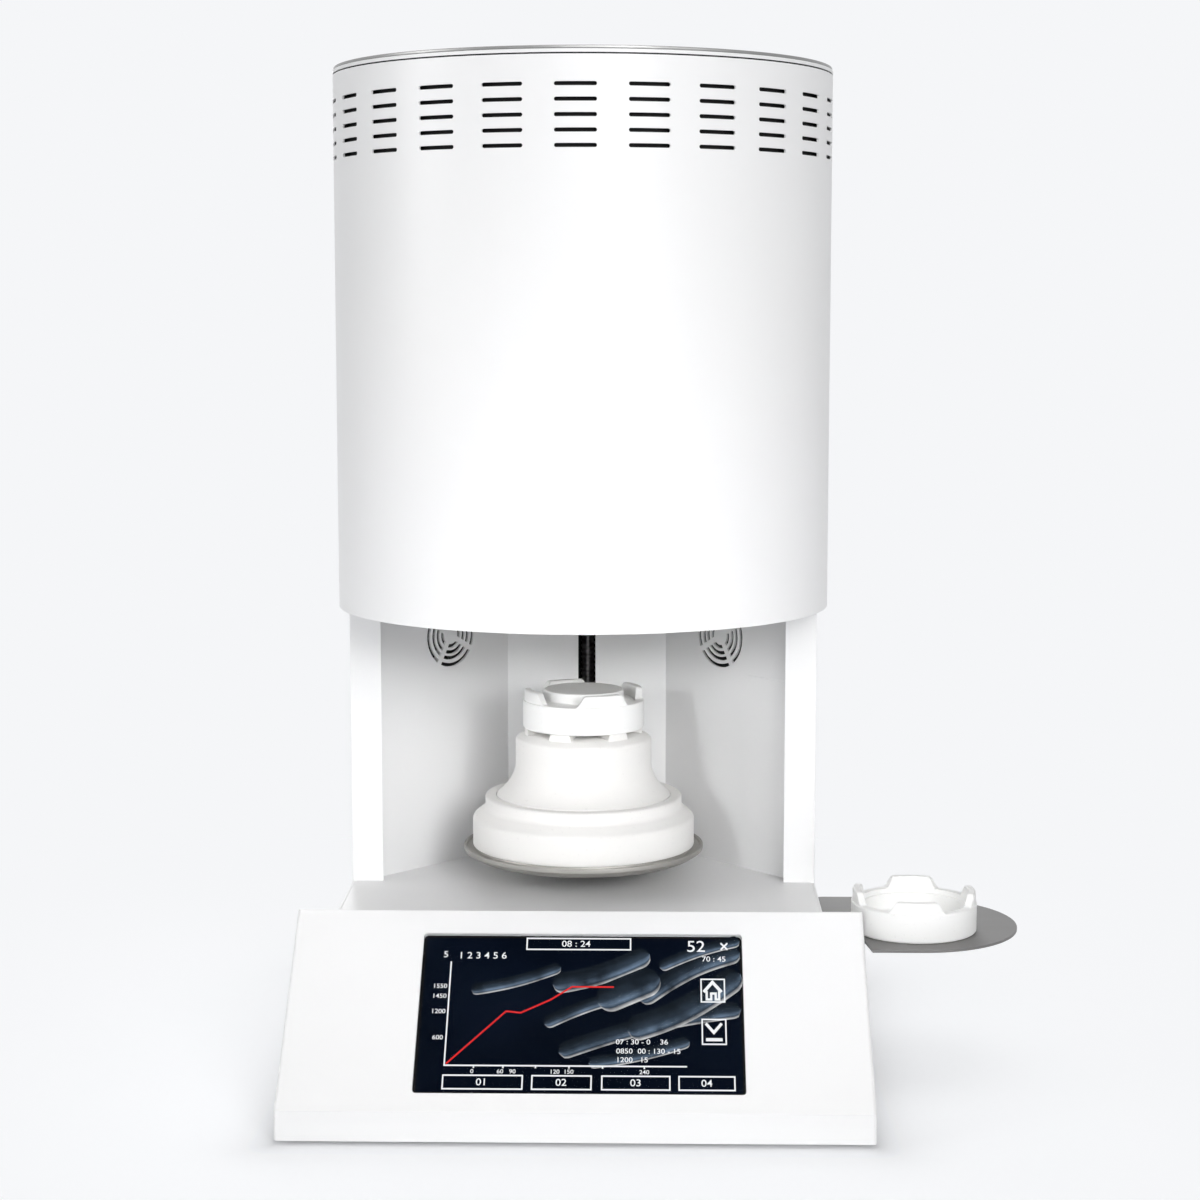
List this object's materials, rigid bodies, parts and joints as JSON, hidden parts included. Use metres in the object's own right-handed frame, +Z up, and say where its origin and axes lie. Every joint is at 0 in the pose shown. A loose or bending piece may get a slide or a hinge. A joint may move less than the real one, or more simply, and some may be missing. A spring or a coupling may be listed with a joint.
{
  "type": "dental lab furnace",
  "caption": "Bottom-loading lab sintering furnace: slotted cylindrical head over a lift plate with pedestal and tray, sloped touch console and side shelf.",
  "frame": {"origin": "middle of the whole furnace's footprint, at the table surface", "axes": "+Z up, -Y towards the user at the console, +X to the user's right, where the side shelf is"},
  "size_m": [0.574, 0.4555, 0.8036],
  "materials": {
    "white_coat": "satin powder coat",
    "trim_gray": "satin",
    "seam_rubber": "matt",
    "black_rubber": "matt",
    "galvanised": "zinc plated",
    "black_coat": "matt black",
    "fibre_board": "matt fibre",
    "block_ceramic": "matt",
    "tray_ceramic": "fine matt",
    "element_dark": "glazed dark gray",
    "strap_metal": "braided",
    "plate_metal": "brushed",
    "shelf_metal": "brushed",
    "screw_steel": "bright",
    "rod_chrome": "polished",
    "machined": "machined",
    "nut_bronze": "turned",
    "screen_glass": "clear, black border",
    "screen_body": "matt",
    "circuit_board": "solder mask",
    "core_steel": "varnished",
    "fin_metal": "anodised",
    "relay_plastic": "matt",
    "socket_plastic": "matt",
    "fan_plastic": "matt",
    "rotor_plastic": "satin",
    "rocker_plastic": "gloss",
    "probe_ceramic": "smooth"
  },
  "bodies": {
    "housing": {"base_pan": "galvanised", "rubber_feet": "black_rubber", "console_cover": "white_coat", "deck_plate": "white_coat", "side_panel_left": "white_coat", "side_panel_right": "white_coat", "inner_panel": "white_coat", "access_cover": "white_coat", "rear_cover": "white_coat", "rear_cover_screws": "screw_steel", "housing_top_plate": "white_coat", "frame_posts": "galvanised", "mast_channel": "black_coat", "head_bottom_plate": "galvanised", "head_shell": "white_coat", "mouth_ring": "fibre_board", "outer_insulation": "fibre_board", "chamber_insulation": "fibre_board", "insulation_plug": "fibre_board", "heating_elements": "element_dark", "element_holders": "probe_ceramic", "power_straps": "strap_metal", "thermocouple": "probe_ceramic", "seam_gasket": "seam_rubber", "top_cap": "white_coat", "cap_trim_ring": "trim_gray", "display_glass": "screen_glass", "display_panel": "screen_body", "display_bracket": "galvanised", "control_board": "circuit_board", "transformer": "core_steel", "heat_sink": "fin_metal", "solid_state_relay": "relay_plastic", "power_inlet": "socket_plastic", "fuse_holders": "socket_plastic", "switch_frame": "socket_plastic", "lift_motor": "black_coat", "motor_plate": "machined", "lower_rod_block": "machined", "upper_rod_block": "machined", "guide_rods": "rod_chrome", "fan_frame_left": "fan_plastic", "fan_frame_right": "fan_plastic", "side_shelf": "shelf_metal", "shelf_bracket": "galvanised"},
    "lift": {"lift_carriage": "machined", "linear_bushings": "rod_chrome", "screw_nut": "nut_bronze", "lift_arm": "black_coat", "lift_plate": "plate_metal", "base_block": "block_ceramic", "pedestal": "block_ceramic"},
    "screw": {"lead_screw": "screw_steel", "shaft_coupler": "machined"},
    "tray": {"crucible": "tray_ceramic"},
    "tray_lid": {"crucible_lid": "tray_ceramic"},
    "spare_tray": {"side_crucible": "tray_ceramic"},
    "left_rotor": {"fan_rotor_left": "rotor_plastic"},
    "right_rotor": {"fan_rotor_right": "rotor_plastic"},
    "rocker": {"switch_rocker": "rocker_plastic"}
  },
  "joints": [
    {"name": "lift_rise", "type": "slide", "parent": "housing", "child": "lift", "axis": [0, 0, 1], "range_m": [0, 0.2]},
    {"name": "screw_turn", "type": "hinge", "parent": "housing", "child": "screw", "pos_m": [-0.064, 0.17775, 0.2], "axis": [0, 0, 1], "range_deg": [-14401, 0]},
    {"name": "tray_lift", "type": "slide", "parent": "lift", "child": "tray", "axis": [0, 0, 1], "range_m": [0, 0.035]},
    {"name": "lid_lift", "type": "slide", "parent": "tray", "child": "tray_lid", "axis": [0, 0, 1], "range_m": [0, 0.02]},
    {"name": "spare_tray_lift", "type": "slide", "parent": "housing", "child": "spare_tray", "axis": [0, 0, 1], "range_m": [0, 0.06]},
    {"name": "left_rotor_spin", "type": "hinge", "parent": "housing", "child": "left_rotor", "pos_m": [-0.1892, 0.09734, 0.338], "axis": [-0.7491, 0.6625, 0], "continuous": true},
    {"name": "right_rotor_spin", "type": "hinge", "parent": "housing", "child": "right_rotor", "pos_m": [0.0612, 0.09734, 0.338], "axis": [0.7491, 0.6625, 0], "continuous": true},
    {"name": "rocker_tip", "type": "hinge", "parent": "housing", "child": "rocker", "pos_m": [-0.134, 0.21875, 0.048], "axis": [1, 0, 0], "range_deg": [-12, 0]}
  ],
  "couplings": [
    {"joint": "screw_turn", "follows": "lift_rise", "rad_per_m": -1256.6}
  ]
}
